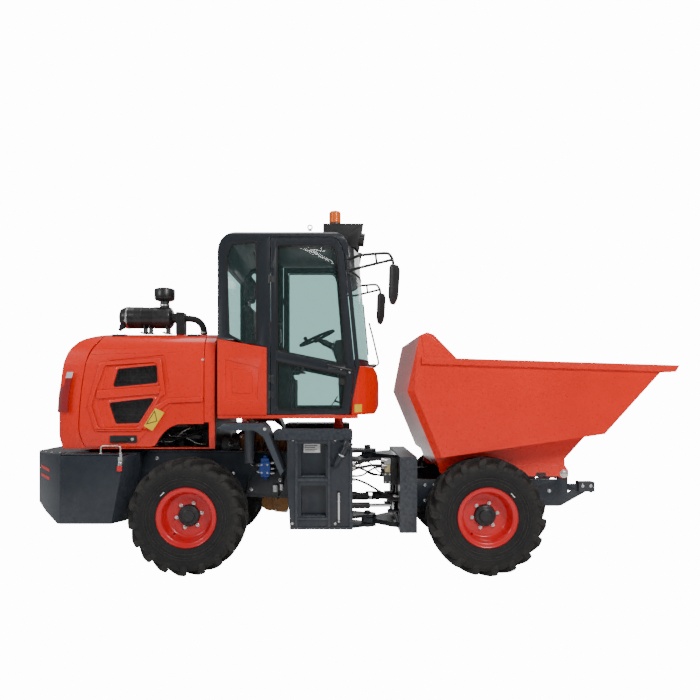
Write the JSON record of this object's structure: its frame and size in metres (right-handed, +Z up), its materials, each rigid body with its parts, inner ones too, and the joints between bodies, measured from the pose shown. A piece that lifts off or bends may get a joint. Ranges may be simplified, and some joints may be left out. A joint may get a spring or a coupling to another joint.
{
  "type": "articulated site dumper with cab",
  "caption": "Centre-articulated four-wheel site dumper with an enclosed cab, rear engine under a hood with lift-up side doors, and a front tipping skip.",
  "frame": {"origin": "on the ground under the middle of the overall box, machine straight and skip down", "axes": "+X towards the skip (front), +Y to the machine's left, +Z up"},
  "size_m": [5.54, 1.75, 3.1263],
  "materials": {
    "orange_paint": "gloss orange-red paint",
    "slate_paint": "satin dark slate-grey paint",
    "black_paint": "satin black paint",
    "rim_red": "gloss red paint",
    "tyre": "tread rubber",
    "glass": "lightly tinted safety glass",
    "ochre_casting": "ochre-painted casting",
    "cast_black": "dark painted castings",
    "steel": "hard-chromed rod",
    "beacon_lens": "amber lens",
    "black_plastic": "moulded black plastic",
    "seat_fabric": "dark woven seat cover"
  },
  "bodies": {
    "root": {"rear_frame": "slate_paint", "rear_axle": "cast_black", "counterweight": "slate_paint", "engine_block": "cast_black", "transmission": "ochre_casting", "hood_cover": "orange_paint", "air_cleaner": "black_paint", "fuel_tank": "slate_paint", "hydraulic_tank": "slate_paint", "fender_right": "slate_paint", "fender_left": "slate_paint", "cab_floor": "orange_paint", "cab_frame": "slate_paint", "quarter_panel_right": "orange_paint", "quarter_panel_left": "orange_paint", "rear_panel": "orange_paint", "nose_panel": "orange_paint", "windshield": "glass", "rear_window": "glass", "quarter_glass_right": "glass", "quarter_glass_left": "glass", "seat_base": "black_plastic", "seat": "seat_fabric", "dashboard": "black_plastic", "lamp_bar": "black_paint", "beacon": "beacon_lens", "mirror_right": "black_plastic", "mirror_left": "black_plastic"},
    "front_body": {"front_frame": "slate_paint", "front_axle": "cast_black"},
    "skip": {"skip": "orange_paint"},
    "tip_barrel": {"tip_barrel": "black_paint"},
    "tip_rod": {"tip_rod": "steel"},
    "steer_barrel_right": {"steer_barrel_right": "black_paint"},
    "steer_rod_right": {"steer_rod_right": "steel"},
    "steer_barrel_left": {"steer_barrel_left": "black_paint"},
    "steer_rod_left": {"steer_rod_left": "steel"},
    "door_right": {"door_right": "slate_paint", "door_glass_right": "glass"},
    "door_left": {"door_left": "slate_paint", "door_glass_left": "glass"},
    "engine_door_right": {"engine_door_right": "orange_paint"},
    "engine_door_left": {"engine_door_left": "orange_paint"},
    "battery_lid_right": {"battery_lid_right": "slate_paint"},
    "battery_lid_left": {"battery_lid_left": "slate_paint"},
    "wheel_rear_right": {"tyre_rear_right": "tyre", "rim_rear_right": "rim_red"},
    "wheel_rear_left": {"tyre_rear_left": "tyre", "rim_rear_left": "rim_red"},
    "wheel_front_right": {"tyre_front_right": "tyre", "rim_front_right": "rim_red"},
    "wheel_front_left": {"tyre_front_left": "tyre", "rim_front_left": "rim_red"}
  },
  "joints": [
    {"name": "steering", "type": "hinge", "parent": "root", "child": "front_body", "pos_m": [0.195, 0, 0.6], "axis": [0, 0, 1], "range_deg": [-35, 35]},
    {"name": "skip_tip", "type": "hinge", "parent": "front_body", "child": "skip", "pos_m": [1.89, 0, 0.808], "axis": [0, 1, 0], "range_deg": [0, 70]},
    {"name": "tip_barrel_pivot", "type": "hinge", "parent": "front_body", "child": "tip_barrel", "pos_m": [0.8, 0, 0.6], "axis": [0, -1, 0], "range_deg": [0, 17]},
    {"name": "tip_rod_slide", "type": "slide", "parent": "tip_barrel", "child": "tip_rod", "axis": [0.9756, 0, 0.2195], "range_m": [0, 0.239]},
    {"name": "door_right_hinge", "type": "hinge", "parent": "root", "child": "door_right", "pos_m": [-0.6635, -0.69, 2], "axis": [0, 0, -1], "range_deg": [0, 85]},
    {"name": "door_left_hinge", "type": "hinge", "parent": "root", "child": "door_left", "pos_m": [-0.6635, 0.69, 2], "axis": [0, 0, 1], "range_deg": [0, 85]},
    {"name": "engine_door_right_hinge", "type": "hinge", "parent": "root", "child": "engine_door_right", "pos_m": [-1.75, -0.425, 2.024], "axis": [-1, 0, 0], "range_deg": [0, 70]},
    {"name": "engine_door_left_hinge", "type": "hinge", "parent": "root", "child": "engine_door_left", "pos_m": [-1.75, 0.425, 2.024], "axis": [1, 0, 0], "range_deg": [0, 70]},
    {"name": "battery_lid_right_hinge", "type": "hinge", "parent": "root", "child": "battery_lid_right", "pos_m": [-2.4028, -0.69, 1.0055], "axis": [0, -1, 0], "range_deg": [0, 80]},
    {"name": "battery_lid_left_hinge", "type": "hinge", "parent": "root", "child": "battery_lid_left", "pos_m": [-2.4028, 0.69, 1.0055], "axis": [0, -1, 0], "range_deg": [0, 80]},
    {"name": "steer_barrel_right_pivot", "type": "hinge", "parent": "root", "child": "steer_barrel_right", "pos_m": [-0.225, -0.25, 0.485], "axis": [0, 0, 1], "range_deg": [-13, 13]},
    {"name": "steer_rod_right_slide", "type": "slide", "parent": "steer_barrel_right", "child": "steer_rod_right", "axis": [0.9989, 0.0465, 0], "range_m": [-0.149, 0.149]},
    {"name": "steer_barrel_left_pivot", "type": "hinge", "parent": "root", "child": "steer_barrel_left", "pos_m": [-0.225, 0.25, 0.485], "axis": [0, 0, 1], "range_deg": [-13, 13]},
    {"name": "steer_rod_left_slide", "type": "slide", "parent": "steer_barrel_left", "child": "steer_rod_left", "axis": [0.9989, -0.0465, 0], "range_m": [-0.149, 0.149]},
    {"name": "wheel_rear_right_spin", "type": "hinge", "parent": "root", "child": "wheel_rear_right", "pos_m": [-1.335, -0.72, 0.488], "axis": [0, 1, 0], "continuous": true},
    {"name": "wheel_rear_left_spin", "type": "hinge", "parent": "root", "child": "wheel_rear_left", "pos_m": [-1.335, 0.72, 0.488], "axis": [0, 1, 0], "continuous": true},
    {"name": "wheel_front_right_spin", "type": "hinge", "parent": "front_body", "child": "wheel_front_right", "pos_m": [1.145, -0.72, 0.488], "axis": [0, 1, 0], "continuous": true},
    {"name": "wheel_front_left_spin", "type": "hinge", "parent": "front_body", "child": "wheel_front_left", "pos_m": [1.145, 0.72, 0.488], "axis": [0, 1, 0], "continuous": true}
  ],
  "couplings": [
    {"joint": "tip_barrel_pivot", "follows": "skip_tip", "ratio": 0.2225},
    {"joint": "tip_rod_slide", "follows": "skip_tip", "m_per_rad": 0.1875},
    {"joint": "steer_barrel_right_pivot", "follows": "steering", "ratio": 0.335},
    {"joint": "steer_rod_right_slide", "follows": "steering", "m_per_rad": 0.2275},
    {"joint": "steer_barrel_left_pivot", "follows": "steering", "ratio": 0.335},
    {"joint": "steer_rod_left_slide", "follows": "steering", "m_per_rad": -0.2275}
  ]
}
